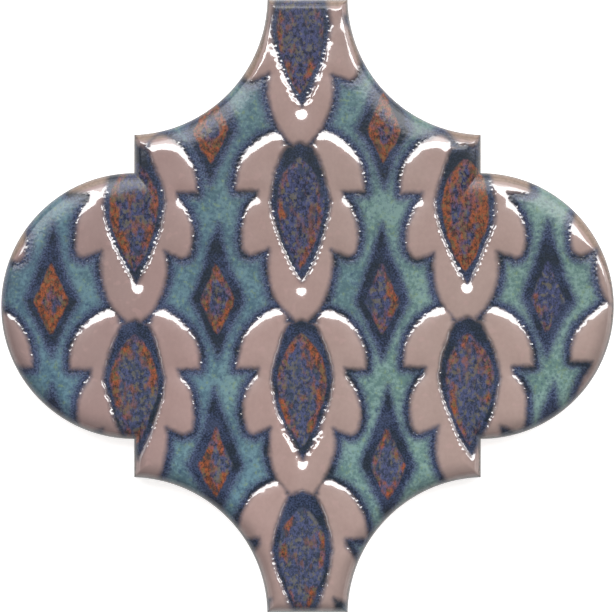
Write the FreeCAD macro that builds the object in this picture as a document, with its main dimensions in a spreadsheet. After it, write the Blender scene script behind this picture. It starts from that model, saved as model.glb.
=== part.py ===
import FreeCAD, Part
import math
import os
import Sketcher
from FreeCAD import Vector

# One glazed arabesque tile lying on its back: origin in the middle of the back, +Z out of the
# glazed face, +Y towards the head of the pattern. All sizes are millimetres.

os.makedirs("parts", exist_ok=True)
doc = FreeCAD.newDocument("arabesque_tile")

# Outline: side lobes that nest in a neighbour's scoops with a grout joint between them.
lobe_radius = 33.0
grout_joint = 1.0
neck_width = 20.0
step_height = 9.5

# Section: clay body, rolled rim, small back arris, raised pools of leaf glaze.
body_thickness = 9.5
rim_radius = 3.0
arris_chamfer = 0.6
glaze_relief = 0.7
glaze_margin = 3.4
glaze_bevel = 0.45

# Keying channels pressed into the back.
key_width = 4.0
key_length = 92.0
key_depth = 0.8
key_pitch = 11.0
key_count = 6

# Repeat of the leaf pair across and along the tile, and where its middle one sits.
repeat_across = 41.2
repeat_along = 43.4
repeat_columns = 5
repeat_rows = 4
middle_across = -1.8
middle_along = 3.72

# Right half of one leaf pair, measured from the seat of its seed pocket.
tip_drop = 8.93
heart_half = 7.64
heart_rise = 8.43
notch_half = 7.69
notch_rise = 11.16
bud_corner_half = 13.3
bud_corner_rise = 8.3
bud_top_half = 10.86
bud_top_rise = 23.19
ledge_half = 10.61
ledge_rise = 25.3
lobe_foot_half = 15.45
lobe_foot_rise = 25.42
crest_half = 6.9
crest_rise = 38.75
crest_end_half = 4.2
crest_end_rise = 37.0
pocket_half = 7.6
pocket_rise = 21.7
pocket_floor = 0.9
heart_curve = 20.4
bud_foot_curve = 60.0
bud_side_curve = 14.0
lobe_side_curve = 13.3
pocket_upper_curve = 60.0
pocket_lower_curve = 31.0

sheet = doc.addObject("Spreadsheet::Sheet", "sizes")
row_number = 0


def size(name, value):
    global row_number
    row_number = row_number + 1
    sheet.set("A%d" % row_number, name)
    sheet.set("B%d" % row_number, str(value))
    sheet.setAlias("B%d" % row_number, name)


size("lobe_radius", lobe_radius)
size("grout_joint", grout_joint)
size("neck_width", neck_width)
size("step_height", step_height)
size("body_thickness", body_thickness)
size("rim_radius", rim_radius)
size("arris_chamfer", arris_chamfer)
size("glaze_relief", glaze_relief)
size("glaze_margin", glaze_margin)
size("glaze_bevel", glaze_bevel)
size("key_width", key_width)
size("key_length", key_length)
size("key_depth", key_depth)
size("key_pitch", key_pitch)
size("key_count", key_count)
size("repeat_across", repeat_across)
size("repeat_along", repeat_along)
size("repeat_columns", repeat_columns)
size("repeat_rows", repeat_rows)
size("middle_across", middle_across)
size("middle_along", middle_along)
size("tip_drop", tip_drop)
size("heart_half", heart_half)
size("heart_rise", heart_rise)
size("notch_half", notch_half)
size("notch_rise", notch_rise)
size("bud_corner_half", bud_corner_half)
size("bud_corner_rise", bud_corner_rise)
size("bud_top_half", bud_top_half)
size("bud_top_rise", bud_top_rise)
size("ledge_half", ledge_half)
size("ledge_rise", ledge_rise)
size("lobe_foot_half", lobe_foot_half)
size("lobe_foot_rise", lobe_foot_rise)
size("crest_half", crest_half)
size("crest_rise", crest_rise)
size("crest_end_half", crest_end_half)
size("crest_end_rise", crest_end_rise)
size("pocket_half", pocket_half)
size("pocket_rise", pocket_rise)
size("pocket_floor", pocket_floor)
size("heart_curve", heart_curve)
size("bud_foot_curve", bud_foot_curve)
size("bud_side_curve", bud_side_curve)
size("lobe_side_curve", lobe_side_curve)
size("pocket_upper_curve", pocket_upper_curve)
size("pocket_lower_curve", pocket_lower_curve)

# Worked-out sizes of the tile outline and of the same outline drawn in by the glaze margin.
size("scoop_radius", "=lobe_radius + grout_joint")
size("scoop_across", "=neck_width / 2 + sqrt(scoop_radius^2 - grout_joint^2 / 4)")
size("scoop_along", "=lobe_radius + step_height + sqrt(scoop_radius^2 - grout_joint^2)")
size("lobe_across", "=scoop_across - grout_joint")
size("blank_edge", "=lobe_across")
size("blank_top", "=scoop_along - grout_joint / 2")
size("blank_neck", "=neck_width / 2")
size("blank_shoulder", "=lobe_radius + step_height")
size("blank_lobe", "=lobe_radius")
size("blank_scoop", "=scoop_radius")
size("field_edge", "=lobe_across - glaze_margin")
size("field_top", "=blank_top - glaze_margin")
size("field_scoop", "=scoop_radius + glaze_margin")
size("field_neck", "=scoop_across - sqrt(field_scoop^2 - (grout_joint / 2 + glaze_margin)^2)")
size("field_shoulder", "=scoop_along - sqrt(field_scoop^2 - (grout_joint + glaze_margin)^2)")
size("field_lobe", "=lobe_radius - glaze_margin")
size("field_height", "=body_thickness + glaze_relief")
size("key_half_width", "=key_width / 2")
size("key_half_length", "=(key_length - key_width) / 2")
size("key_first", "=key_pitch * (key_count - 1) / 2")
size("column_span", "=repeat_across * (repeat_columns - 1)")
size("row_span", "=repeat_along * (repeat_rows - 1)")
size("first_column", "=middle_across - repeat_across * 2")
size("first_row", "=middle_along - repeat_along * 2")
doc.recompute()


def cell(name):
    if name == "0":
        return 0.0
    if name.startswith("-"):
        return -float(sheet.get(name[1:]))
    return float(sheet.get(name))


def bound(name):
    if name.startswith("-"):
        return "-<<sizes>>." + name[1:]
    return "<<sizes>>." + name


def origin_part(body, role):
    return [item for item in body.Origin.OriginFeatures if item.Role == role][0]


def new_sketch(body, name):
    sketch = body.newObject("Sketcher::SketchObject", name)
    sketch.AttachmentSupport = [(origin_part(body, "XY_Plane"), "")]
    sketch.MapMode = "FlatFace"
    return sketch


def place_point(sketch, item, end, across, along):
    # A point on an axis is tied to that axis, any other point is held by its two distances.
    if across == "0":
        sketch.addConstraint(Sketcher.Constraint("PointOnObject", item, end, -2))
    elif across:
        number = sketch.addConstraint(
            Sketcher.Constraint("DistanceX", -1, 1, item, end, cell(across)))
        sketch.setExpression("Constraints[%d]" % number, bound(across))
    if along == "0":
        sketch.addConstraint(Sketcher.Constraint("PointOnObject", item, end, -1))
    elif along:
        number = sketch.addConstraint(
            Sketcher.Constraint("DistanceY", -1, 1, item, end, cell(along)))
        sketch.setExpression("Constraints[%d]" % number, bound(along))


def set_radius(sketch, item, name):
    number = sketch.addConstraint(Sketcher.Constraint("Radius", item, cell(name)))
    sketch.setExpression("Constraints[%d]" % number, bound(name))


def bowed(start, end, radius, side):
    # Middle point of the arc from start to end, bulging left of the way from start to end
    # when side is 1 and right of it when side is -1.
    chord = end - start
    sag = radius - math.sqrt(max(radius ** 2 - chord.Length ** 2 / 4, 0.0))
    left = Vector(-chord.y, chord.x, 0).normalize()
    return (start + end) / 2 + left * sag * side


def add_arc(sketch, start, middle, end):
    # Adds the arc counter-clockwise and tells which of its ends, 1 or 2, lies at start.
    circle = Part.Circle(start, middle, end)
    centre = circle.Center
    turn = (middle - start).cross(end - middle).z
    near = (start if turn > 0 else end) - centre
    far = (end if turn > 0 else start) - centre
    low = math.atan2(near.y, near.x)
    high = math.atan2(far.y, far.x)
    if high < low:
        high = high + 2 * math.pi
    full = Part.Circle(centre, Vector(0, 0, 1), circle.Radius)
    item = sketch.addGeometry(Part.ArcOfCircle(full, low, high))
    return item, (1 if turn > 0 else 2)


def loop_sketch(body, name, corners, curves):
    # Closed loop through named corners. A curve is None for a straight side or a pair of a
    # radius name and the side it bulges to.
    sketch = new_sketch(body, name)
    points = [Vector(cell(across), cell(along), 0) for across, along in corners]
    items = []
    starts = []
    for number, curve in enumerate(curves):
        start = points[number]
        end = points[(number + 1) % len(points)]
        if curve is None:
            items.append(sketch.addGeometry(Part.LineSegment(start, end)))
            starts.append(1)
        else:
            middle = bowed(start, end, cell(curve[0]), curve[1])
            item, first = add_arc(sketch, start, middle, end)
            items.append(item)
            starts.append(first)
    for number, item in enumerate(items):
        before = number - 1
        sketch.addConstraint(Sketcher.Constraint(
            "Coincident", items[before], 3 - starts[before], item, starts[number]))
        place_point(sketch, item, starts[number], corners[number][0], corners[number][1])
        if curves[number] is not None:
            set_radius(sketch, item, curves[number][0])
    return sketch


def tile_outline(body, name, kind):
    # Necks at the head and foot, four scoops, four short steps and a round lobe on each side.
    # kind picks the blank's own outline or the one drawn in by the glaze margin.
    edge = kind + "_edge"
    top = kind + "_top"
    neck = kind + "_neck"
    shoulder = kind + "_shoulder"
    lobe = kind + "_lobe"
    scoop = kind + "_scoop"
    sketch = new_sketch(body, name)
    reach = math.sqrt(cell(lobe) ** 2 - (cell("lobe_across") - cell(edge)) ** 2)
    lobe_tip = cell("lobe_across") + cell(lobe)

    def side_run(sign):
        prefix = "" if sign > 0 else "-"
        opposite = "-" if sign > 0 else ""
        x_edge = sign * cell(edge)
        upper = sketch.addGeometry(Part.LineSegment(
            Vector(x_edge, cell(shoulder), 0), Vector(x_edge, reach, 0)))
        lower = sketch.addGeometry(Part.LineSegment(
            Vector(x_edge, -reach, 0), Vector(x_edge, -cell(shoulder), 0)))
        place_point(sketch, upper, 1, prefix + edge, shoulder)
        place_point(sketch, lower, 2, prefix + edge, "-" + shoulder)
        arc, first = add_arc(
            sketch, Vector(x_edge, reach, 0), Vector(sign * lobe_tip, 0, 0), Vector(x_edge, -reach, 0))
        place_point(sketch, arc, 3, prefix + "lobe_across", "0")
        set_radius(sketch, arc, lobe)
        sketch.addConstraint(Sketcher.Constraint("Coincident", upper, 2, arc, first))
        sketch.addConstraint(Sketcher.Constraint("Coincident", lower, 1, arc, 3 - first))
        sketch.addConstraint(Sketcher.Constraint("Vertical", upper))
        sketch.addConstraint(Sketcher.Constraint("Vertical", lower))
        return upper, lower, opposite

    def neck_line(sign):
        level = top if sign > 0 else "-" + top
        line = sketch.addGeometry(Part.LineSegment(
            Vector(-cell(neck), cell(level), 0), Vector(cell(neck), cell(level), 0)))
        place_point(sketch, line, 1, "-" + neck, level)
        place_point(sketch, line, 2, neck, level)
        return line

    def scoop_arc(line, line_end, step, step_end, side):
        start = sketch.getPoint(line, line_end)
        end = sketch.getPoint(step, step_end)
        arc, first = add_arc(sketch, start, bowed(start, end, cell(scoop), side), end)
        sketch.addConstraint(Sketcher.Constraint("Coincident", arc, first, line, line_end))
        sketch.addConstraint(Sketcher.Constraint("Coincident", arc, 3 - first, step, step_end))
        set_radius(sketch, arc, scoop)

    right_upper, right_lower, unused = side_run(1)
    left_upper, left_lower, unused = side_run(-1)
    head = neck_line(1)
    foot = neck_line(-1)
    scoop_arc(head, 2, right_upper, 1, -1)
    scoop_arc(head, 1, left_upper, 1, 1)
    scoop_arc(foot, 2, right_lower, 2, 1)
    scoop_arc(foot, 1, left_lower, 2, -1)
    return sketch


def edges_at_height(shape, level):
    names = []
    for number, edge in enumerate(shape.Edges):
        box = edge.BoundBox
        if abs(box.ZMin - level) < 1e-4 and abs(box.ZMax - level) < 1e-4:
            names.append("Edge%d" % (number + 1))
    return names


def pad_up(body, name, sketch, length):
    pad = body.newObject("PartDesign::Pad", name)
    pad.Profile = sketch
    pad.setExpression("Length", bound(length))
    sketch.Visibility = False
    doc.recompute()
    return pad


# Clay body: padded outline with the rolled rim above and the small arris below.
blank = doc.addObject("PartDesign::Body", "clay_body")
blank_sketch = tile_outline(blank, "tile_outline", "blank")
blank_pad = pad_up(blank, "clay_pad", blank_sketch, "body_thickness")

rim = blank.newObject("PartDesign::Fillet", "rolled_rim")
rim.Base = (blank_pad, edges_at_height(blank_pad.Shape, cell("body_thickness")))
rim.setExpression("Radius", bound("rim_radius"))
doc.recompute()

arris = blank.newObject("PartDesign::Chamfer", "back_arris")
arris.Base = (rim, edges_at_height(rim.Shape, 0.0))
arris.setExpression("Size", bound("arris_chamfer"))
doc.recompute()

# One round-ended channel in the back, repeated along the tile.
key_sketch = new_sketch(blank, "key_outline")
half_width = cell("key_half_width")
half_length = cell("key_half_length")
low_line = -cell("key_first")
right_end = key_sketch.addGeometry(Part.Arc(
    Vector(half_length, low_line - half_width, 0),
    Vector(half_length + half_width, low_line, 0),
    Vector(half_length, low_line + half_width, 0)))
left_end = key_sketch.addGeometry(Part.Arc(
    Vector(-half_length, low_line + half_width, 0),
    Vector(-half_length - half_width, low_line, 0),
    Vector(-half_length, low_line - half_width, 0)))
lower_side = key_sketch.addGeometry(Part.LineSegment(
    Vector(-half_length, low_line - half_width, 0),
    Vector(half_length, low_line - half_width, 0)))
upper_side = key_sketch.addGeometry(Part.LineSegment(
    Vector(half_length, low_line + half_width, 0),
    Vector(-half_length, low_line + half_width, 0)))
place_point(key_sketch, right_end, 3, "key_half_length", "-key_first")
place_point(key_sketch, left_end, 3, "-key_half_length", "-key_first")
set_radius(key_sketch, right_end, "key_half_width")
set_radius(key_sketch, left_end, "key_half_width")
key_sketch.addConstraint(Sketcher.Constraint("Tangent", lower_side, 2, right_end, 1))
key_sketch.addConstraint(Sketcher.Constraint("Tangent", right_end, 2, upper_side, 1))
key_sketch.addConstraint(Sketcher.Constraint("Tangent", upper_side, 2, left_end, 1))
key_sketch.addConstraint(Sketcher.Constraint("Tangent", left_end, 2, lower_side, 1))
doc.recompute()

channel = blank.newObject("PartDesign::Pocket", "key_channel")
channel.Profile = key_sketch
channel.Reversed = True
channel.setExpression("Length", bound("key_depth"))
key_sketch.Visibility = False
doc.recompute()

channels = blank.newObject("PartDesign::LinearPattern", "key_channels")
channels.Originals = [channel]
channels.Direction = (origin_part(blank, "Y_Axis"), [""])
channels.Mode = "Spacing"
channels.setExpression("Offset", bound("key_pitch"))
channels.setExpression("Occurrences", bound("key_count"))
blank.Tip = channels
doc.recompute()

# Slab that limits the raised glaze to the flat of the face, bevelled all round its top.
field = doc.addObject("PartDesign::Body", "glaze_field")
field_sketch = tile_outline(field, "field_outline", "field")
field_pad = pad_up(field, "field_pad", field_sketch, "field_height")
field_bevel = field.newObject("PartDesign::Chamfer", "field_bevel")
field_bevel.Base = (field_pad, edges_at_height(field_pad.Shape, cell("field_height")))
field_bevel.setExpression("Size", bound("glaze_bevel"))
field.Tip = field_bevel
doc.recompute()

# Leaf pair: padded, bevelled and repeated over the whole face.
leaf = doc.addObject("PartDesign::Body", "leaf_pair")
right_corners = [
    ("heart_half", "heart_rise"),
    ("notch_half", "notch_rise"),
    ("bud_corner_half", "bud_corner_rise"),
    ("bud_top_half", "bud_top_rise"),
    ("ledge_half", "ledge_rise"),
    ("lobe_foot_half", "lobe_foot_rise"),
    ("crest_half", "crest_rise"),
    ("crest_end_half", "crest_end_rise"),
    ("pocket_half", "pocket_rise"),
]
left_corners = [("-" + across, along) for across, along in reversed(right_corners)]
right_curves = [
    ("heart_curve", -1),
    None,
    ("bud_foot_curve", -1),
    ("bud_side_curve", -1),
    None,
    None,
    ("lobe_side_curve", -1),
    None,
    ("pocket_upper_curve", 1),
    ("pocket_lower_curve", 1),
]
leaf_corners = [("0", "-tip_drop")] + right_corners + [("0", "pocket_floor")] + left_corners
leaf_curves = right_curves + right_curves[::-1]
leaf_sketch = loop_sketch(leaf, "leaf_outline", leaf_corners, leaf_curves)
leaf_pad = pad_up(leaf, "leaf_pad", leaf_sketch, "field_height")
leaf_bevel = leaf.newObject("PartDesign::Chamfer", "leaf_bevel")
leaf_bevel.Base = (leaf_pad, edges_at_height(leaf_pad.Shape, cell("field_height")))
leaf_bevel.setExpression("Size", bound("glaze_bevel"))
doc.recompute()
lattice = leaf.newObject("PartDesign::LinearPattern", "leaf_lattice")
lattice.TransformMode = "Whole shape"
lattice.Direction = (origin_part(leaf, "X_Axis"), [""])
lattice.Mode = "Extent"
lattice.setExpression("Length", bound("column_span"))
lattice.setExpression("Occurrences", bound("repeat_columns"))
lattice.Direction2 = (origin_part(leaf, "Y_Axis"), [""])
lattice.Mode2 = "Extent"
lattice.setExpression("Length2", bound("row_span"))
lattice.setExpression("Occurrences2", bound("repeat_rows"))
leaf.Tip = lattice
leaf.setExpression(".Placement.Base.x", bound("first_column"))
leaf.setExpression(".Placement.Base.y", bound("first_row"))
doc.recompute()

# Raised leaf glaze where the leaves and the field meet, then one fired piece.
pools = doc.addObject("Part::MultiCommon", "leaf_pools")
pools.Shapes = [field, leaf]
doc.recompute()

tile = doc.addObject("Part::MultiFuse", "tile")
tile.Shapes = [blank, pools]
tile.Refine = True
doc.recompute()

for item in doc.Objects:
    if "Invalid" in item.State or "Error" in item.State:
        raise RuntimeError("%s did not rebuild: %s" % (item.Name, item.State))
    if hasattr(item, "Shape") and item.TypeId != "Sketcher::SketchObject":
        if item.Shape.isNull() or not item.Shape.isValid():
            raise RuntimeError("%s has no sound shape" % item.Name)

if len(tile.Shape.Solids) != 1:
    raise RuntimeError("the tile is not one solid")

tile.Shape.exportStep("parts/tile.step")
box = tile.Shape.BoundBox
print("tile %.2f x %.2f x %.2f mm" % (box.XLength, box.YLength, box.ZLength))
print("volume %.1f mm3" % tile.Shape.Volume)
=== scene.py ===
import math

import bpy
import numpy as np
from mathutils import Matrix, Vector
from mathutils.geometry import delaunay_2d_cdt


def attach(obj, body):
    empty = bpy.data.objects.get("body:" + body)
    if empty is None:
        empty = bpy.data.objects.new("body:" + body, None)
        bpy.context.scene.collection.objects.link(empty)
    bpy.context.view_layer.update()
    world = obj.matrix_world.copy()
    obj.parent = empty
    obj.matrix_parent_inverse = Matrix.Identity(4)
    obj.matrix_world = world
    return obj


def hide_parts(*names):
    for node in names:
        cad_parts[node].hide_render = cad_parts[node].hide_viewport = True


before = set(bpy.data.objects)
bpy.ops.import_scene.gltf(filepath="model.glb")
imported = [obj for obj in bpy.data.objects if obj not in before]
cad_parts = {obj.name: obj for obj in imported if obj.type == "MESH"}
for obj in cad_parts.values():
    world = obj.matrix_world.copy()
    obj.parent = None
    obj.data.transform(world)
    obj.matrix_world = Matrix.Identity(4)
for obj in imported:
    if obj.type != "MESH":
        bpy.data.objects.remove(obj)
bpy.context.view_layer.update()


# Clay body.
# A biscuit-fired blank pressed in one piece: round lobes, four scoops, short steps and two
# necks. Its sides are left as pressed and its back carries six round-ended keying channels.
lobe_radius = 33.0
grout_joint = 1.0
neck_width = 20.0
step_height = 9.5
scoop_radius = lobe_radius + grout_joint
scoop_across = 0.5 * neck_width + math.sqrt(scoop_radius ** 2 - 0.25 * grout_joint ** 2)
scoop_along = lobe_radius + step_height + math.sqrt(scoop_radius ** 2 - grout_joint ** 2)
body_edge = scoop_across - grout_joint
body_top = scoop_along - 0.5 * grout_joint
body_thickness = 9.5
rim_radius = 3.0
neck_points = 50
scoop_points = 133
step_points = 24
lobe_points = 259


def arc_run(centre, radius, start, end, count):
    # Points of an arc, its end left for the next run to start on.
    angles = np.linspace(start, end, count + 1)[:-1]
    return np.stack([centre[0] + radius * np.cos(angles), centre[1] + radius * np.sin(angles)], 1)


def line_run(start, end, count):
    # Points of a straight line, its end left for the next run to start on.
    steps = np.linspace(0.0, 1.0, count + 1)[:-1, None]
    return np.asarray(start) * (1.0 - steps) + np.asarray(end) * steps


def tile_edge(inset):
    # Outline drawn in by inset, anticlockwise from the right end of the foot neck.
    scoop = scoop_radius + inset
    lobe = lobe_radius - inset
    top = body_top - inset
    edge = body_edge - inset
    neck = scoop_across - math.sqrt(scoop ** 2 - (scoop_along - top) ** 2)
    step_end = scoop_along - math.sqrt(scoop ** 2 - (scoop_across - edge) ** 2)
    step_start = math.sqrt(lobe ** 2 - inset ** 2)
    full_turn = 2.0 * math.pi
    at_neck = math.atan2(top - scoop_along, neck - scoop_across) % full_turn
    at_step = math.atan2(step_end - scoop_along, edge - scoop_across) % full_turn
    lobe_turn = math.atan2(step_start, edge - body_edge)
    foot_scoop = (scoop_across, -scoop_along)
    head_scoop = (scoop_across, scoop_along)
    right = [
        arc_run(foot_scoop, scoop, full_turn - at_neck, full_turn - at_step, scoop_points),
        line_run((edge, -step_end), (edge, -step_start), step_points),
        arc_run((body_edge, 0.0), lobe, -lobe_turn, lobe_turn, lobe_points),
        line_run((edge, step_start), (edge, step_end), step_points),
        arc_run(head_scoop, scoop, at_step, at_neck, scoop_points)]
    run = right + [line_run((neck, top), (-neck, top), neck_points)]
    run += [-part for part in right]
    run += [line_run((-neck, -top), (neck, -top), neck_points)]
    return np.concatenate(run)


def rim_depth(across, along):
    # Distance in from the side, with the corners mitred as a rolled rim mitres them.
    across = np.abs(across)
    along = np.abs(along)
    from_scoop = np.hypot(across - scoop_across, along - scoop_along) - scoop_radius
    in_core = np.minimum(np.minimum(body_edge - across, body_top - along), from_scoop)
    in_lobe = lobe_radius - np.hypot(across - body_edge, along)
    return np.maximum(in_core, in_lobe)


def loop_faces(first, second, count):
    # Quads between two loops that start at first and second and hold count points each.
    here = np.arange(count)
    after = (here + 1) % count
    return np.stack([first + here, first + after, second + after, second + here], 1)


def mesh_piece(name, points, faces, material, smooth=True):
    # Object from points in millimetres.
    mesh = bpy.data.meshes.new(name)
    mesh.from_pydata((np.asarray(points) * 0.001).tolist(), [], [list(face) for face in faces])
    mesh.update()
    mesh.materials.append(material)
    mesh.polygons.foreach_set("use_smooth", [smooth] * len(mesh.polygons))
    piece = bpy.data.objects.new(name, mesh)
    bpy.context.scene.collection.objects.link(piece)
    return piece


arris = 0.6
wall_top = body_thickness - rim_radius
side_levels = [(arris, 0.0), (0.0, arris), (0.0, 2.6), (0.0, 4.6), (0.0, wall_top)]
key_half_length = 44.0
key_half_width = 2.0
key_depth = 0.8
key_rows = [-27.5, -16.5, -5.5, 5.5, 16.5, 27.5]
key_end_points = 10
inside_only = 1
weld_distance = 1e-6

body_points = []
body_faces = []
edge_count = len(tile_edge(0.0))
for inset, height in side_levels:
    body_points.extend([x, y, height] for x, y in tile_edge(inset))
for level in range(len(side_levels) - 1):
    lower = level * edge_count
    body_faces.extend(loop_faces(lower, lower + edge_count, edge_count).tolist())

quarter = 0.5 * math.pi
channel_loops = []
for row in key_rows:
    right_end = arc_run(
        (key_half_length, row), key_half_width, -quarter, quarter, key_end_points)
    left_end = arc_run(
        (-key_half_length, row), key_half_width, quarter, 3.0 * quarter, key_end_points)
    channel_loops.append(np.concatenate([
        right_end, [[key_half_length, row + key_half_width]],
        left_end, [[-key_half_length, row - key_half_width]]]))

# The back is laid flat first. Then the floors of the channels are set in, and walled round.
back_loops = [tile_edge(arris)] + channel_loops
back_ties = []
back_start = 0
for loop in back_loops:
    count = len(loop)
    back_ties.extend((back_start + k, back_start + (k + 1) % count) for k in range(count))
    back_start = back_start + count
back_plan = [Vector(point) for point in np.concatenate(back_loops).tolist()]
laid = delaunay_2d_cdt(back_plan, back_ties, [], inside_only, weld_distance, False)
flat_plan = np.array([[v.x, v.y] for v in laid[0]])
back_shift = len(body_points)
floor_shift = back_shift + len(flat_plan)
body_points.extend([x, y, 0.0] for x, y in flat_plan)
body_points.extend([x, y, key_depth] for x, y in flat_plan)
for face in laid[2]:
    middle = flat_plan[list(face)].mean(0)
    if rim_depth(middle[0], middle[1]) < arris:
        continue
    beyond = max(0.0, abs(middle[0]) - key_half_length)
    in_channel = any(math.hypot(beyond, middle[1] - row) < key_half_width for row in key_rows)
    shift = floor_shift if in_channel else back_shift
    body_faces.append([shift + k for k in reversed(face)])
for loop in channel_loops:
    count = len(loop)
    first = len(body_points)
    body_points.extend([x, y, 0.0] for x, y in loop)
    body_points.extend([x, y, key_depth] for x, y in loop)
    body_faces.extend(loop_faces(first, first + count, count)[:, ::-1].tolist())

# Speckle of fired clay and of glaze: cloudy noise fixed to the tile, used in both materials.
speckle = bpy.data.node_groups.new("speckle", "ShaderNodeTree")
for name in ("Scale", "Detail", "Roughness"):
    speckle.interface.new_socket(name, in_out="INPUT", socket_type="NodeSocketFloat")
speckle.interface.new_socket("Stretch", in_out="INPUT", socket_type="NodeSocketVector")
speckle.interface.new_socket("Amount", in_out="OUTPUT", socket_type="NodeSocketFloat")
nodes = speckle.nodes
links = speckle.links
given = nodes.new("NodeGroupInput")
place = nodes.new("ShaderNodeTexCoord")
stretched = nodes.new("ShaderNodeMapping")
noise = nodes.new("ShaderNodeTexNoise")
result = nodes.new("NodeGroupOutput")
links.new(place.outputs["Object"], stretched.inputs["Vector"])
links.new(given.outputs["Stretch"], stretched.inputs["Scale"])
links.new(stretched.outputs["Vector"], noise.inputs["Vector"])
for name in ("Scale", "Detail", "Roughness"):
    links.new(given.outputs[name], noise.inputs[name])
links.new(noise.outputs["Fac"], result.inputs["Amount"])


def speckled(scale, detail=2.0, stretch=(1.0, 1.0, 1.0), rough=0.5):
    # The speckle, placed among the nodes of the material in hand.
    node = nodes.new("ShaderNodeGroup")
    node.node_tree = speckle
    node.inputs["Scale"].default_value = scale
    node.inputs["Detail"].default_value = detail
    node.inputs["Roughness"].default_value = rough
    node.inputs["Stretch"].default_value = stretch
    return node.outputs["Amount"]


biscuit = bpy.data.materials.new("biscuit_clay")
biscuit.use_nodes = True
nodes = biscuit.node_tree.nodes
links = biscuit.node_tree.links
shell = nodes["Principled BSDF"]
shell.inputs["Roughness"].default_value = 0.85
shell.inputs["Specular IOR Level"].default_value = 0.3
grit = speckled(900.0, 6.0)
tint = nodes.new("ShaderNodeValToRGB")
tint.color_ramp.elements[0].position = 0.3
tint.color_ramp.elements[0].color = (0.36, 0.2, 0.12, 1.0)
tint.color_ramp.elements[1].position = 0.7
tint.color_ramp.elements[1].color = (0.55, 0.34, 0.22, 1.0)
links.new(grit, tint.inputs["Fac"])
links.new(tint.outputs["Color"], shell.inputs["Base Color"])
tooth = nodes.new("ShaderNodeBump")
tooth.inputs["Strength"].default_value = 0.4
tooth.inputs["Distance"].default_value = 0.0001
links.new(grit, tooth.inputs["Height"])
links.new(tooth.outputs["Normal"], shell.inputs["Normal"])

clay_body = mesh_piece("clay_body", body_points, body_faces, biscuit, smooth=False)
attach(clay_body, "root")
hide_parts("tile")


# Glazed face.
# Leaf pairs, seeds and diamonds are outlined with a waxy dark line, and coloured glazes are
# flooded between the lines. The leaf glaze is laid on thick and stands up as rounded pools.

# Seats of the leaf pairs and middles of the diamonds, drawn by hand and so a little uneven,
# as (across, along, share of iron-red in the seed or diamond).
leaf_pairs = [
    (-42.0, 47.3, 0.5), (-1.76, 47.3, 0.35), (39.5, 47.3, 0.5),
    (-84.0, 2.6, 0.5), (-43.0, 3.4, 0.42), (-1.9, 3.9, 0.28), (39.1, 3.5, 0.95), (79.6, 4.3, 0.5),
    (-84.2, -39.7, 0.5), (-42.6, -40.1, 0.4), (-1.5, -40.1, 0.5), (39.9, -39.5, 0.35),
    (81.0, -38.5, 0.5), (-1.3, -82.3, 0.3)]
diamonds = [
    (-23.9, 43.7, 0.85), (19.0, 43.6, 0.8),
    (-63.2, 1.3, 1.0), (-22.3, 1.3, 0.75), (18.4, 1.0, 0.5), (59.3, 1.7, 0.15),
    (-63.0, -38.6, 0.5), (-22.9, -39.5, 0.52), (19.9, -39.5, 0.5), (60.6, -38.6, 0.3)]
# Where the leaf glaze sank as it cooled, as (across, along, reach): under five seed pockets,
# and on one lobe left of the middle column.
seats = [
    (-1.5, 49.0, 3.0), (-41.9, 5.9, 2.9), (-1.5, 5.2, 2.9), (39.4, 5.9, 2.8), (-1.3, -37.7, 3.1),
    (-14.9, -17.8, 2.6)]


outline_spacing = 0.5


def bowed_run(start, end, radius, side):
    # Points from start up to end along an arc, bulging left of the way when side is 1.
    start = np.asarray(start, float)
    end = np.asarray(end, float)
    chord = end - start
    span = np.hypot(*chord)
    if radius is None:
        return line_run(start, end, max(1, int(span / outline_spacing)))
    left = np.array([-chord[1], chord[0]]) / span
    centre = 0.5 * (start + end) - left * side * math.sqrt(radius ** 2 - 0.25 * span ** 2)
    first = math.atan2(*(start - centre)[::-1])
    sweep = 2.0 * math.asin(0.5 * span / radius) * -side
    return arc_run(centre, radius, first, first + sweep, max(2, int(span / outline_spacing)))


def mirrored_shape(half):
    # Closed polygon from a right half given as (across, along, radius, side) corners.
    run = []
    for corner, following in zip(half[:-1], half[1:]):
        run.append(bowed_run(corner[:2], following[:2], corner[2], corner[3]))
    run.append(np.array([half[-1][:2]]))
    right = np.concatenate(run)
    left = right[::-1] * np.array([-1.0, 1.0])
    return np.concatenate([right, left[1:-1]])


def signed_distance(shape, across, along):
    # Distance to a closed polygon, negative inside it.
    best = np.full(across.shape, 1e9)
    inside = np.zeros(across.shape, bool)
    for (x0, y0), (x1, y1) in zip(shape, np.roll(shape, -1, 0)):
        dx, dy = x1 - x0, y1 - y0
        span_squared = dx * dx + dy * dy
        if span_squared < 1e-12:
            continue
        t = np.clip(((across - x0) * dx + (along - y0) * dy) / span_squared, 0.0, 1.0)
        best = np.minimum(best, (across - x0 - t * dx) ** 2 + (along - y0 - t * dy) ** 2)
        if dy != 0.0:
            crosses = (along >= min(y0, y1)) & (along < max(y0, y1))
            inside ^= crosses & (across < x0 + (along - y0) * dx / dy)
    return np.sqrt(best) * np.where(inside, -1.0, 1.0)


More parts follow.
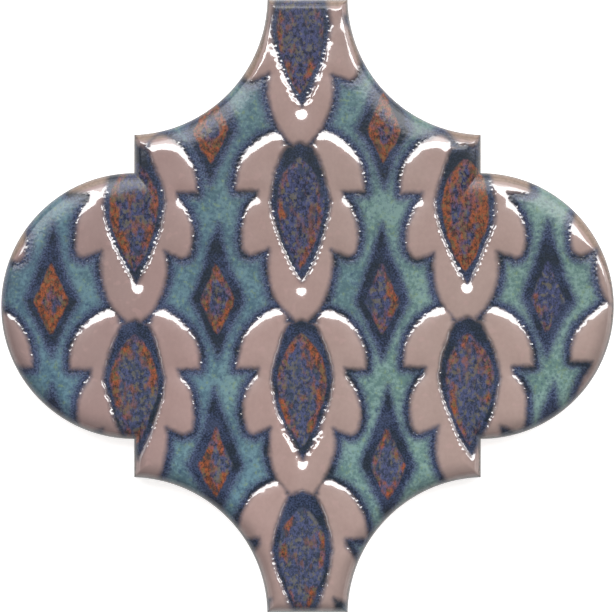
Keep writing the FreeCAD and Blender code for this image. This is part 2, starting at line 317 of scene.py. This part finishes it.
leaf_shape = mirrored_shape([
    (0.0, -8.93, 18.0, -1), (8.1, 7.6, None, 0), (7.8, 9.9, 60.0, -1),
    (12.0, 8.3, 2.6, -1), (14.3, 10.9, 14.0, -1), (10.9, 22.9, None, 0),
    (10.7, 24.5, None, 0), (16.0, 24.6, 14.0, -1), (6.94, 39.1, 2.9, -1),
    (3.84, 35.9, None, 0), (0.0, 34.6, None, 0)])
pocket_shape = mirrored_shape([
    (0.0, 2.0, 48.0, -1), (7.5, 22.0, 40.0, -1), (3.4, 35.3, None, 0), (0.0, 36.6, None, 0)])
seed_shape = mirrored_shape([(0.0, 5.2, 32.0, -1), (5.7, 21.0, 13.4, -1), (0.0, 32.8, None, 0)])
diamond_shape = mirrored_shape([
    (0.0, -14.3, 120.0, 1), (6.6, 0.0, 150.0, 1), (0.0, 19.4, None, 0)])
core_shape = mirrored_shape([
    (0.0, -8.2, 60.0, -1), (4.1, 0.0, 95.0, 1), (0.0, 9.4, None, 0)])
# The seat of each pocket leans to the right of its leaf pair.
pocket_lean = 0.6
lean_height = 20.0
pocket_shape[:, 0] += pocket_lean * np.clip(1.0 - pocket_shape[:, 1] / lean_height, 0.0, 1.0)

# The glaze is worked out on a fine square grid over the whole face. Each shape is worked out
# once, on a cell of the same grid, and stamped from there.
field_step = 0.1
field_first = -77.0
field_count = 1541
field_run = np.arange(field_count) * field_step + field_first
field_x, field_y = np.meshgrid(field_run, field_run)
cell_half = 20.5
cell_foot = -21.0
cell_head = 42.0
cell_over = 0.1 * field_step
cell_x, cell_y = np.meshgrid(
    np.arange(-cell_half, cell_half + cell_over, field_step),
    np.arange(cell_foot, cell_head + cell_over, field_step))
far_off = 9.0


def read_grid(grid, first_x, first_y, x, y):
    # Straight-line reading between the points of a regular grid.
    column = np.clip((x - first_x) / field_step, 0.0, grid.shape[1] - 1.001)
    row = np.clip((y - first_y) / field_step, 0.0, grid.shape[0] - 1.001)
    i = column.astype(int)
    j = row.astype(int)
    fx = column - i
    fy = row - j
    low = grid[j, i] * (1.0 - fx) + grid[j, i + 1] * fx
    high = grid[j + 1, i] * (1.0 - fx) + grid[j + 1, i + 1] * fx
    return low * (1.0 - fy) + high * fy


def stamped(shape, places):
    # The shape laid at each place, as the distance to the nearest of its outlines.
    cell = signed_distance(shape, cell_x, cell_y)
    field = np.full(field_x.shape, far_off)
    for across, along, _ in places:
        left = np.searchsorted(field_run, across - cell_half + field_step)
        right = np.searchsorted(field_run, across + cell_half - field_step)
        low = np.searchsorted(field_run, along + cell_foot + field_step)
        high = np.searchsorted(field_run, along + cell_head - field_step)
        window = (slice(low, high), slice(left, right))
        if right > left and high > low:
            laid_x = field_x[window] + hand_x[window] - across
            laid_y = field_y[window] + hand_y[window] - along
            laid = read_grid(cell, -cell_half, cell_foot, laid_x, laid_y)
            field[window] = np.minimum(field[window], laid)
    return field


def softened(grid, reach):
    # Gaussian softening of a field grid by reach millimetres, padded so that it can't wrap round.
    size = 2048
    frequency = np.fft.fftfreq(size, field_step)
    fall = np.exp(-2.0 * (math.pi * reach * frequency) ** 2)
    padded = np.zeros((size, size))
    padded[:grid.shape[0], :grid.shape[1]] = grid
    spread = np.fft.irfft2(np.fft.rfft2(padded) * fall[:, None] * fall[None, :size // 2 + 1])
    return spread[:grid.shape[0], :grid.shape[1]]


chance = np.random.default_rng(12)


def uneven(reach):
    # Smooth chance variation with a spread of one, its lumps about reach millimetres across.
    lumps = softened(chance.standard_normal(field_x.shape), reach)
    middle = slice(200, -200)
    return lumps / lumps[middle, middle].std()


# The outlines as drawn: they wander a little with the hand, and are ragged close up.
hand_lumps = 2.6
hand_drift = 0.16
ragged_lumps = 0.4
ragged_drift = 0.06
line_width = 1.4
hand_x = uneven(hand_lumps) * hand_drift
hand_y = uneven(hand_lumps) * hand_drift
ragged = uneven(ragged_lumps) * ragged_drift
whole_leaf = stamped(leaf_shape, leaf_pairs) + ragged
pocket_field = stamped(pocket_shape, leaf_pairs) + ragged
leaf_field = np.maximum(whole_leaf, -pocket_field)
line_field = np.minimum(leaf_field - line_width, pocket_field)
line_field = np.minimum(line_field, stamped(diamond_shape, diamonds))
fill_field = np.minimum(stamped(seed_shape, leaf_pairs), stamped(core_shape, diamonds))

# Share by which each rim turns to the head of the tile, and where it is turned well round. The
# pools stop short of the rim, and leave most of it bare there.
foot_margin = 0.35
head_margin = 1.15
turned_margin = 0.75
turn_gain = 0.9
turned_from = 0.75
turned_run = 0.25
rim_field = rim_depth(field_x, field_y)
rim_rise = np.gradient(rim_field, field_step)
faces_head = np.clip(0.5 - turn_gain * rim_rise[0], 0.0, 1.0)
well_round = np.clip((faces_head - turned_from) / turned_run, 0.0, 1.0)
bare_margin = foot_margin + (head_margin - foot_margin) * faces_head + turned_margin * well_round
bare_field = bare_margin - rim_field
pool_field = np.maximum(leaf_field, bare_field)


def walled(inward, reach, soft):
    # Share of the full height with the distance inward from an edge: a steep wall, rounded off.
    share = np.sign(inward) * (1.0 - np.exp(-np.abs(inward) / reach))
    return np.maximum(softened(share, soft), 0.0)


# The pools swell to a dome from just outside their outlines, lower and tighter near the head
# of the tile, and have a small lip all round.
pool_rise = 0.46
pool_reach = 4.6
pool_spread = 0.2
pool_softness = 0.4
near_head_from = 22.0
near_head_run = 14.0
tighter_by = 1.4
lower_by = 0.16
dome_skirt = -0.3
lip_rise = 0.035
lip_reach = 0.3
lip_softness = 0.12
in_leaf = pool_spread - whole_leaf
near_head = np.clip((field_y - near_head_from) / near_head_run, 0.0, 1.0)
dome = np.clip(in_leaf / (pool_reach - tighter_by * near_head), dome_skirt, 1.0)
dome = np.maximum(softened(1.0 - (1.0 - dome) ** 2, pool_softness), 0.0)
pool_swell = pool_rise * (1.0 - lower_by * near_head) * dome
pool_swell = pool_swell + lip_rise * walled(in_leaf, lip_reach, lip_softness)

# They fall to the seed pockets in a steep wall, less steep in the head neck. In the middle
# column, in the pairs above and below the centre one, the wall has slumped, as (across, along,
# half width, half length).
pocket_reach = 0.34
neck_pocket_from = 60.0
neck_pocket_run = 4.0
neck_pocket_reach = 0.6
pocket_ragged = 0.3
pocket_softness = 0.13
slumps = [(-1.3, -33.5, 9.0, 7.0), (-1.8, 54.5, 9.0, 7.5)]
foot_slump_run = 1.4
head_slump_run = 1.0
slump_ragged = 2.5
slump_softness = 0.12
in_neck = np.clip((field_y - neck_pocket_from) / neck_pocket_run, 0.0, 1.0)
wall_reach = pocket_reach + neck_pocket_reach * in_neck
pocket_wall = walled(pocket_field + pocket_ragged * ragged, wall_reach, pocket_softness)
slumped = np.zeros(field_x.shape)
for across, along, half_width, half_length in slumps:
    away = np.hypot((field_x - across) / half_width, (field_y - along) / half_length)
    slumped = slumped + np.exp(-away ** 4)
slump_run = np.where(field_y < 0.0, foot_slump_run, head_slump_run)
slump_wall = np.clip((pocket_field + slump_ragged * ragged) / slump_run, 0.0, 1.0)
slump_wall = softened(slump_wall, slump_softness)
pool_swell = pool_swell * (pocket_wall + (slump_wall - pocket_wall) * slumped)

# They run out gently at the rim, and most gently on the head side of each round lobe.
lobe_top_across = 51.5
lobe_top_along = 30.0
lobe_top_width = 4.0
lobe_top_length = 3.0
rim_reach = 0.6
head_side_from = 0.55
head_side_run = 0.125
head_side_less = 0.25
lobe_top_more = 1.3
rim_softness = 0.18
from_lobe_top = ((np.abs(field_x) - lobe_top_across) / lobe_top_width) ** 2
lobe_top = np.exp(-from_lobe_top - ((field_y - lobe_top_along) / lobe_top_length) ** 2)
on_head_side = np.clip((faces_head - head_side_from) / head_side_run, 0.0, 1.0)
bare_reach = rim_reach - head_side_less * on_head_side + lobe_top_more * lobe_top
pool_swell = pool_swell * walled(-bare_field + ragged, bare_reach, rim_softness)

# They sink at the seats.
dip_depth = 0.88
dip_narrower = 1.2
dip_longer = 1.15
for across, along, reach in seats:
    away = np.hypot((field_x - across) * dip_narrower, (field_y - along) / dip_longer) / reach
    pool_swell = pool_swell * (1.0 - dip_depth * np.clip(1.0 - away ** 2, 0.0, 1.0) ** 2)

bead_steepness = 0.175
bead_size_share = (0.55, 1.25)
bead_gap_share = (0.9, 2.0)
bead_field = np.zeros(field_x.shape)


def dropped(across, along, size):
    # One round bead of glaze, set into the bead field.
    column = int(round((across - field_first) / field_step))
    row = int(round((along - field_first) / field_step))
    span = int(size / field_step) + 2
    if min(row, column) < span or max(row, column) > field_count - span - 1:
        return
    window = (slice(row - span, row + span + 1), slice(column - span, column + span + 1))
    away = np.hypot(field_x[window] - across, field_y[window] - along) / size
    bead = bead_steepness * size * np.clip(1.0 - away ** 2, 0.0, 1.0) ** 2
    bead_field[window] = np.maximum(bead_field[window], bead)


def beaded(shape, points, side, across, along, run):
    # Beads of chance size strung up one side of a shape, the right one when side is 1.
    first, last, first_size, last_size, spacing, nearest, farthest = run
    edge = shape[:points] if side > 0.0 else np.concatenate([shape[:1], shape[:-points:-1]])
    gone = np.cumsum(np.hypot(np.diff(edge[:, 0]), np.diff(edge[:, 1])))
    gone = np.concatenate([[0.0], gone])
    ahead = 0.4
    at = first
    while at < last:
        x = np.interp(at, gone, edge[:, 0])
        y = np.interp(at, gone, edge[:, 1])
        run_x = np.interp(at + ahead, gone, edge[:, 0]) - x
        run_y = np.interp(at + ahead, gone, edge[:, 1]) - y
        size = first_size + (last_size - first_size) * (at - first) / (last - first)
        size = size * chance.uniform(*bead_size_share)
        out = chance.uniform(nearest, farthest) / ahead * side
        dropped(across + x + out * run_y, along + y - out * run_x, size)
        at += size * chance.uniform(*bead_gap_share) * spacing


# Runs of beads, as (from, to, size at each end, spacing, nearest and farthest out). From and to
# are lengths along the outline from its foot, and size is a bead's radius.
pocket_foot = (2.5, 15.0, 0.78, 0.5, 1.25, 0.0, 0.45)
slumped_foot = (2.5, 15.0, 0.46, 0.4, 1.3, -0.5, -0.1)
pocket_side = (15.0, 30.0, 0.42, 0.36, 2.6, -0.6, 0.1)
bud_side = (31.0, 41.0, 0.36, 0.36, 3.4, 0.0, 0.4)
crest_side = (51.0, 64.0, 0.36, 0.36, 3.0, 0.0, 0.4)
pocket_points = 60
leaf_points = 180
middle_column = 10.0
middle_row = 30.0
for across, along, _ in leaf_pairs:
    has_slumped = abs(across) <= middle_column and abs(along) >= middle_row
    foot_run = slumped_foot if has_slumped else pocket_foot
    for side in (1.0, -1.0):
        for run in (foot_run, pocket_side):
            beaded(pocket_shape, pocket_points, side, across, along, run)
        for run in (bud_side, crest_side):
            beaded(leaf_shape, leaf_points, side, across, along, run)
pool_swell = pool_swell + bead_field

# Outside the pools the glaze lies low in the dark lines, and swells a little between them.
line_slope = 0.8
net_rise = 0.07
seed_rise = 0.06
seed_slope = 1.6
net_softness = 0.35
pool_foot = 0.3
line_trough = np.clip(0.5 - line_field / line_slope, 0.0, 1.0)
seed_swell = seed_rise * np.clip(-fill_field / seed_slope, 0.0, 1.0)
field_swell = softened(net_rise * (1.0 - line_trough) + seed_swell, net_softness)
relief_field = pool_swell + field_swell * np.clip(pool_field / pool_foot, 0.0, 1.0)

# The rim is ringed with loops. Inside them the face is laid in a grid that is finest at the
# edges of the pools, as (spacing, nearest and farthest distance out from a pool's edge).
rim_insets = [0.0, 0.03, 0.12, 0.28, 0.5, 0.78, 1.1, 1.45, 1.8, 2.1, 2.35, 2.65, 3.0, 3.4]
face_grids = [(0.25, -1.0, 0.6), (0.45, -2.4, 1.5), (0.85, -99.0, 99.0)]
row_spacing = 0.866
rim_gap = 0.6
rim_count = edge_count * len(rim_insets)
face_plan = [tile_edge(inset) for inset in rim_insets]
rim_quads = np.concatenate([
    loop_faces(level * edge_count, (level + 1) * edge_count, edge_count)
    for level in range(len(rim_insets) - 1)])


def staggered(spacing):
    # Points of a three-way grid over the whole field.
    rows = np.arange(field_first, -field_first, spacing * row_spacing)
    line = np.arange(field_first, -field_first, spacing)
    shift = 0.5 * spacing * (np.arange(len(rows)) % 2)[:, None]
    x = np.tile(line, (len(rows), 1)) + shift
    y = np.repeat(rows[:, None], len(line), 1)
    return x.ravel(), y.ravel()


inner_plan = [face_plan[-1]]
laid_from = laid_to = 0.0
for spacing, nearest, farthest in face_grids:
    x, y = staggered(spacing)
    pool = read_grid(pool_field, field_first, field_first, x, y)
    kept = (pool > nearest) & (pool < farthest) & ~((pool > laid_from) & (pool < laid_to))
    kept &= rim_depth(x, y) > rim_insets[-1] + rim_gap * spacing
    laid_from, laid_to = nearest, farthest
    inner_plan.append(np.stack([x[kept], y[kept]], 1))
inner_plan = np.concatenate(inner_plan)
ties = [(k, (k + 1) % edge_count) for k in range(edge_count)]
inner_points = [Vector(point) for point in inner_plan.tolist()]
laid = delaunay_2d_cdt(inner_points, ties, [], inside_only, weld_distance, True)
inner_faces = np.array([[laid[3][k][0] for k in face] for face in laid[2]])
inner_middle = inner_plan[inner_faces].mean(1)
inner_faces = inner_faces[rim_depth(inner_middle[:, 0], inner_middle[:, 1]) > rim_insets[-1]]
inner_faces = inner_faces + rim_count - edge_count
face_xy = np.concatenate(face_plan[:-1] + [inner_plan])

# The face cushions down towards the rim and rolls over it. The cushion is narrower in the
# necks and beside the steps.
cushion_fall = 1.1
cushion_reach = 6.7
neck_from = 58.0
neck_run = 10.0
neck_less = 4.2
step_across = 41.0
step_along = 35.0
step_spread = 6.0
step_less = 3.0
roll_reach = 1.7
relief_margin = 1.2
depth = rim_depth(face_xy[:, 0], face_xy[:, 1])
depth[:rim_count] = np.repeat(rim_insets, edge_count)
to_neck = np.clip((np.abs(face_xy[:, 1]) - neck_from) / neck_run, 0.0, 1.0)
from_step = np.hypot(np.abs(face_xy[:, 0]) - step_across, face_xy[:, 1] - step_along)
cushion_width = cushion_reach - neck_less * to_neck
cushion_width = cushion_width - step_less * np.exp(-(from_step / step_spread) ** 2)
cushion = np.clip(1.0 - depth / cushion_width, 0.0, 1.0) ** 2
roll = np.clip(1.0 - depth / roll_reach, 0.0, 1.0)
face_height = body_thickness - cushion_fall * cushion
face_height = face_height - (rim_radius - cushion_fall) * (1.0 - np.sqrt(1.0 - roll ** 2))
relief = read_grid(relief_field, field_first, field_first, face_xy[:, 0], face_xy[:, 1])
face_height = face_height + relief * np.clip(depth / relief_margin, 0.0, 1.0)
face_points = np.column_stack([face_xy, face_height])
face_faces = rim_quads.tolist() + inner_faces.tolist()

glaze = bpy.data.materials.new("flooded_glaze")
glaze.use_nodes = True
glaze_face = mesh_piece("glaze_face", face_points, face_faces, glaze)

# Values for the glazes, laid on the points of the face. Each point takes the iron-red share of
# the seed or diamond that it is nearest to. Leaf glaze turns glassy where dip is above zero, and
# the sharp edge of the tile takes painted shade where edge is below zero, wider on rims turned
# away from the head.
seed_middle = 20.0
seed_narrower = 0.6
full_bead = 0.02
glassy_margin = 1.6
glassy_head_less = 0.9
glassy_turned_more = 1.5
edge_margin = 0.3
edge_head_less = 0.25
nearest = np.full(len(face_xy), 1e9)
warmth = np.zeros(len(face_xy))
seeds = [(across, along + seed_middle, share) for across, along, share in leaf_pairs]
for across, along, share in seeds + diamonds:
    away = np.hypot(face_xy[:, 0] - across, seed_narrower * (face_xy[:, 1] - along))
    warmth = np.where(away < nearest, share, warmth)
    nearest = np.minimum(nearest, away)
glassy = rim_field - glassy_margin + glassy_head_less * faces_head
fields = {
    "leaf": leaf_field, "line": line_field, "fill": fill_field, "bare": bare_field,
    "pocket": pocket_field, "bead": np.clip(bead_field / full_bead, 0.0, 1.0),
    "dip": glassy - glassy_turned_more * well_round,
    "edge": rim_field - edge_margin + edge_head_less * faces_head,
    "head": faces_head}
layers = {"rim": depth, "warm": warmth}
for name, field in fields.items():
    layers[name] = read_grid(field, field_first, field_first, face_xy[:, 0], face_xy[:, 1])
for name, values in layers.items():
    layer = glaze_face.data.attributes.new(name, "FLOAT", "POINT")
    layer.data.foreach_set("value", values.astype(np.float32))

nodes = glaze.node_tree.nodes
links = glaze.node_tree.links
shell = nodes["Principled BSDF"]
shell.inputs["IOR"].default_value = 1.52
shell.inputs["Roughness"].default_value = 0.22
shell.inputs["Coat IOR"].default_value = 2.2
shell.inputs["Coat Roughness"].default_value = 0.05


def reading(name):
    # One of the values laid on the points.
    node = nodes.new("ShaderNodeAttribute")
    node.attribute_name = name
    return node.outputs["Fac"]


def sums(operation, first, second=None, third=None):
    # One step of arithmetic on up to three outputs or numbers.
    node = nodes.new("ShaderNodeMath")
    node.operation = operation
    for number, value in enumerate((first, second, third)):
        if value is None:
            continue
        if isinstance(value, (int, float)):
            node.inputs[number].default_value = value
        else:
            links.new(value, node.inputs[number])
    return node.outputs[0]


def ramped(value, low, high, bottom=0.0, top=1.0):
    # Smooth step from bottom, where value is low, to top, where it is high.
    node = nodes.new("ShaderNodeMapRange")
    node.interpolation_type = "SMOOTHSTEP"
    node.inputs["From Min"].default_value = low
    node.inputs["From Max"].default_value = high
    node.inputs["To Min"].default_value = bottom
    node.inputs["To Max"].default_value = top
    links.new(value, node.inputs["Value"])
    return node.outputs["Result"]


def blended(amount, first, second):
    # Colour that goes from first to second with amount. A colour is an output or a red, green
    # and blue.
    node = nodes.new("ShaderNodeMix")
    node.data_type = "RGBA"
    links.new(amount, node.inputs[0])
    for socket, value in ((node.inputs[6], first), (node.inputs[7], second)):
        if isinstance(value, tuple):
            socket.default_value = (*value, 1.0)
        else:
            links.new(value, socket)
    return node.outputs[2]


def coated(colour, coats):
    # Colour under coats laid in order, each as (value, low, high, share at low, share at high,
    # colour of the coat).
    for value, low, high, bottom, top, coat in coats:
        colour = blended(ramped(value, low, high, bottom, top), colour, coat)
    return colour


grain = speckled(1300.0, 3.0)
fine_grain = speckled(2400.0, 1.0)
other_grain = speckled(1000.0, 3.0, (1.0, 0.8, 1.0))
cloud = speckled(160.0, 3.0)
patch = speckled(42.0)
fleck = speckled(420.0, 1.0)
streak = speckled(700.0, 2.0, (1.0, 0.4, 1.0))
stroke = speckled(1300.0, 5.0, (1.0, 0.7, 1.0), 0.8)
dab = speckled(480.0, 4.0, (1.0, 0.7, 1.0))
crust = speckled(1300.0, 0.0)


def shaken(value, amount, by=grain):
    # A value moved up and down by a speckle.
    return sums("MULTIPLY_ADD", sums("SUBTRACT", by, 0.5), amount, value)


rim = reading("rim")
head = reading("head")
leaf_edge = reading("leaf")
leaf = shaken(leaf_edge, 0.5)
line = shaken(reading("line"), 1.3)
fill = shaken(reading("fill"), 1.2, streak)
directions = nodes.new("ShaderNodeSeparateXYZ")
links.new(nodes.new("ShaderNodeTexCoord").outputs["Object"], directions.inputs[0])
to_right = directions.outputs["X"]
to_head = directions.outputs["Y"]

# Field glaze, thin and deep or pooled and pale in clouds, greener to the right, and flecked
# with olive and ink.
deep_blue = (0.075, 0.144, 0.195)
deep_green = (0.124, 0.218, 0.2)
pale_blue = (0.14, 0.25, 0.305)
pale_green = (0.236, 0.366, 0.335)
head_shade = (0.03, 0.045, 0.055)
olive = (0.22, 0.31, 0.13)
ink = (0.03, 0.045, 0.13)
greener = sums("ADD", sums("MULTIPLY", to_right, 6.0), patch)
deep_net = coated(deep_blue, [(greener, 0.15, 0.85, 0.0, 1.0, deep_green)])
pale_net = coated(pale_blue, [(greener, 0.15, 0.85, 0.0, 1.0, pale_green)])
# The field glaze takes painted shade a little towards the head.
net = coated(deep_net, [
    (shaken(grain, 0.8, cloud), 0.3, 0.7, 0.0, 1.0, pale_net),
    (to_head, -0.06, 0.05, 0.0, 0.16, head_shade),
    (other_grain, 0.55, 0.72, 0.0, 0.45, olive),
    (other_grain, 0.28, 0.42, 0.45, 0.0, ink)])

# Waxy dark line, near black in pits, and bluer in a fringe along its edges.
line_black = (0.014, 0.021, 0.042)
line_blue = (0.047, 0.066, 0.138)
line_pit = (0.012, 0.019, 0.024)
line_haze = (0.055, 0.072, 0.125)
fringe_deep = (0.033, 0.043, 0.09)
fringe_pale = (0.1, 0.13, 0.23)
fringe = coated(fringe_deep, [(fine_grain, 0.36, 0.66, 0.0, 1.0, fringe_pale)])
off_fringe = sums("MULTIPLY_ADD", to_head, 4.5, shaken(line, 1.6, cloud))
dark = coated(line_black, [
    (fine_grain, 0.36, 0.68, 0.0, 1.0, line_blue),
    (cloud, 0.36, 0.56, 0.8, 0.0, line_pit),
    (cloud, 0.5, 0.66, 0.0, 0.5, line_haze)])
dark = blended(ramped(off_fringe, -0.9, 0.0, 0.95, 0.15), fringe, dark)

# Leaf glaze, a dusty pink that is darker to the left and creamier to the right.
rose = (0.43, 0.285, 0.26)
pale_rose = (0.47, 0.315, 0.29)
putty = (0.38, 0.3, 0.265)
cream = (0.5, 0.38, 0.33)
left_shade = (0.29, 0.2, 0.2)
pink_grain = (0.3, 0.2, 0.19)
pink_fleck = (0.56, 0.36, 0.34)
pink = coated(rose, [
    (cloud, 0.3, 0.7, 0.0, 1.0, pale_rose),
    (patch, 0.4, 0.7, 0.0, 0.3, putty),
    (to_right, -0.06, 0.07, 0.0, 0.45, cream),
    (to_right, -0.05, -0.01, 0.3, 0.0, left_shade),
    (other_grain, 0.35, 0.65, 0.0, 0.12, pink_grain),
    (fleck, 0.62, 0.72, 0.0, 0.25, pink_fleck)])

# Seed glazes, brushed on: a violet blue, and an iron red that breaks through it in places.
navy = (0.009, 0.012, 0.03)
violet = (0.075, 0.086, 0.198)
straw = (0.17, 0.15, 0.09)
brown = (0.24, 0.1, 0.055)
slate = (0.03, 0.045, 0.075)
mist = (0.14, 0.18, 0.22)
umber = (0.055, 0.03, 0.025)
iron_red = (0.37, 0.1, 0.038)
dark_straw = (0.14, 0.12, 0.06)
dark_slate = (0.04, 0.045, 0.05)
blue = coated(navy, [
    (stroke, 0.38, 0.62, 0.0, 1.0, violet),
    (other_grain, 0.5, 0.64, 0.0, 0.6, straw),
    (shaken(cloud, 0.9, streak), 0.56, 0.76, 0.0, 0.45, brown),
    (dab, 0.3, 0.46, 0.7, 0.0, slate),
    (to_head, -0.05, 0.05, 0.14, 0.0, mist)])
rust = coated(umber, [
    (stroke, 0.38, 0.62, 0.0, 1.0, iron_red),
    (other_grain, 0.52, 0.64, 0.0, 0.65, dark_straw),
    (dab, 0.32, 0.42, 0.6, 0.0, dark_slate)])
near_side = ramped(reading("fill"), -2.4, -0.8)
warm = sums("ADD", sums("MULTIPLY", near_side, 0.28), sums("MULTIPLY", reading("warm"), 0.6))
warm = shaken(shaken(shaken(warm, 1.3, cloud), 0.9, streak), 0.35, other_grain)
seed = coated(blue, [(warm, 0.35, 0.75, 0.0, 1.0, rust)])

# Thin glaze where a leaf has run out over the rim, brown flecked with buff, with a painted cream
# sheen on the rims that face the head.
thin_brown = (0.12, 0.07, 0.05)
thin_buff = (0.27, 0.17, 0.13)
painted_head_sheen = (0.42, 0.31, 0.24)
# Painted sheen: the thin glaze is lighter and creamier on rims that face the head lamps.
thin = coated(thin_brown, [
    (grain, 0.4, 0.65, 0.0, 1.0, thin_buff),
    (head, 0.6, 1.0, 0.0, 0.55, painted_head_sheen)])
leaf_colour = coated(thin, [(shaken(reading("bare"), 0.9, cloud), -0.1, 0.25, 1.0, 0.0, pink)])

# All the glazes in their places, with painted shade over the rim that is deepest on rims turned
# away from the head, painted shade along its sharp edge, and painted shade a little towards the
# head.
rim_shade = (0.03, 0.03, 0.035)
painted_edge_shade = (0.015, 0.014, 0.014)
painted_head_shade = (0.0, 0.0, 0.0)
# Painted shade over the rim. It fades out 5 mm in and is weakest on rims that face the head.
over_rim = ramped(rim, 0.3, 5.0, 0.5, 0.0)
painted_rim_shade = sums("MULTIPLY", over_rim, ramped(head, 0.0, 1.0, 1.0, 0.2))
colour = coated(dark, [
    (line, -0.5, 1.9, 0.0, 1.0, net),
    (fill, -0.2, 0.5, 1.0, 0.0, seed),
    (leaf, -1.2, 0.65, 1.0, 0.0, leaf_colour)])
colour = blended(painted_rim_shade, colour, rim_shade)
colour = coated(colour, [
    # Painted shade along the sharp edge of the tile.
    (shaken(reading("edge"), 0.4), -0.1, 0.4, 0.85, 0.0, painted_edge_shade),
    # Painted shade darkens all the glazes a little towards the head.
    (to_head, -0.06, 0.06, 0.0, 0.17, painted_head_shade)])
links.new(colour, shell.inputs["Base Color"])

# Only the pools and the beads are glassy. The rest is satin, and broken up by fine crystals.
on_leaf = ramped(shaken(leaf_edge, 1.6, other_grain), -0.1, 0.2, 1.0, 0.0)
on_leaf = sums("MULTIPLY", on_leaf, ramped(reading("dip"), 0.0, 0.7))
on_bead = sums("MULTIPLY", ramped(reading("bead"), 0.1, 0.6), ramped(rim, 1.4, 2.4))
links.new(sums("MAXIMUM", on_leaf, on_bead), shell.inputs["Coat Weight"])
crystals = nodes.new("ShaderNodeBump")
crystals.inputs["Strength"].default_value = 1.0
crystals.inputs["Distance"].default_value = 0.0001
near_wall = ramped(reading("pocket"), -0.1, 1.2, 0.35, 1.0)
near_wall = sums("MULTIPLY", ramped(leaf_edge, -0.3, 0.2), near_wall)
open_field = ramped(leaf_edge, 0.4, 1.2, 1.0, 0.28)
crust = sums("SUBTRACT", sums("MULTIPLY_ADD", grain, 0.35, crust), 0.675)
crust = sums("MULTIPLY", crust, sums("MULTIPLY", near_wall, open_field))
links.new(crust, crystals.inputs["Height"])
links.new(crystals.outputs["Normal"], shell.inputs["Normal"])
links.new(crystals.outputs["Normal"], shell.inputs["Coat Normal"])

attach(glaze_face, "root")
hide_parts("tile")


# Studio.
# A pale floor and a low round wall, two wide soft lamps beyond the head of the tile, one high
# and one low, and a camera straight above the tile.
studio_radius = 3.0
wall_height = 1.6
round_count = 96
paper_glow = 0.8
floor_mesh = bpy.data.meshes.new("floor")
turn = [2.0 * math.pi * k / round_count for k in range(round_count)]
floor_points = [(studio_radius * math.cos(a), studio_radius * math.sin(a), 0.0) for a in turn]
wall_points = [(x, y, wall_height) for x, y, _ in floor_points]
floor_faces = [list(range(round_count))]
for k in range(round_count):
    after = (k + 1) % round_count
    floor_faces.append([k, round_count + k, round_count + after, after])
floor_mesh.from_pydata(floor_points + wall_points, [], floor_faces)
paper = bpy.data.materials.new("paper_white")
paper.use_nodes = True
nodes = paper.node_tree.nodes
links = paper.node_tree.links
sheet = nodes["Principled BSDF"]
sheet.inputs["Base Color"].default_value = (0.75, 0.75, 0.75, 1.0)
sheet.inputs["Roughness"].default_value = 0.9
sheet.inputs["Specular IOR Level"].default_value = 0.0
sheet.inputs["Emission Color"].default_value = (1.0, 1.0, 1.0, 1.0)
ray = nodes.new("ShaderNodeLightPath")
seen = ray.outputs["Is Camera Ray"]
for kind in ("Is Glossy Ray", "Is Transmission Ray"):
    either = nodes.new("ShaderNodeMath")
    either.operation = "MAXIMUM"
    links.new(seen, either.inputs[0])
    links.new(ray.outputs[kind], either.inputs[1])
    seen = either.outputs[0]
glow = nodes.new("ShaderNodeMath")
glow.operation = "MULTIPLY"
glow.inputs[1].default_value = paper_glow
links.new(seen, glow.inputs[0])
links.new(glow.outputs[0], sheet.inputs["Emission Strength"])
floor_mesh.materials.append(paper)
floor = bpy.data.objects.new("floor", floor_mesh)
bpy.context.scene.collection.objects.link(floor)

world = bpy.data.worlds.new("studio_air")
world.use_nodes = True
air = world.node_tree.nodes["Background"]
air.inputs["Color"].default_value = (1.0, 1.0, 1.0, 1.0)
air.inputs["Strength"].default_value = 0.1
bpy.context.scene.world = world


def soft_lamp(name, place, width, depth, power):
    # A flat lamp tilted down to the tile, its width kept square to the tile.
    data = bpy.data.lights.new(name, "AREA")
    data.shape = "RECTANGLE"
    data.size = width
    data.size_y = depth
    data.energy = power
    lamp = bpy.data.objects.new(name, data)
    lamp.location = place
    facing = Vector((0.0, -place[1], -place[2]))
    lamp.rotation_euler = facing.to_track_quat("-Z", "Y").to_euler()
    bpy.context.scene.collection.objects.link(lamp)


soft_lamp("head_lamp", place=(0.4, 0.82, 2.0), width=4.2, depth=0.78, power=53.0)
soft_lamp("low_lamp", place=(0.2, 1.05, 0.9), width=2.1, depth=0.8, power=13.0)

view_width = 0.1525
rim_height = 0.0065
sensor_width = 36.0
lens_length = 250.0
camera_data = bpy.data.cameras.new("overhead")
camera_data.sensor_width = sensor_width
camera_data.lens = lens_length
camera = bpy.data.objects.new("overhead", camera_data)
camera.location = (0.0, 0.0, rim_height + view_width * lens_length / sensor_width)
bpy.context.scene.collection.objects.link(camera)
bpy.context.scene.camera = camera
bpy.context.scene.view_settings.view_transform = "Standard"
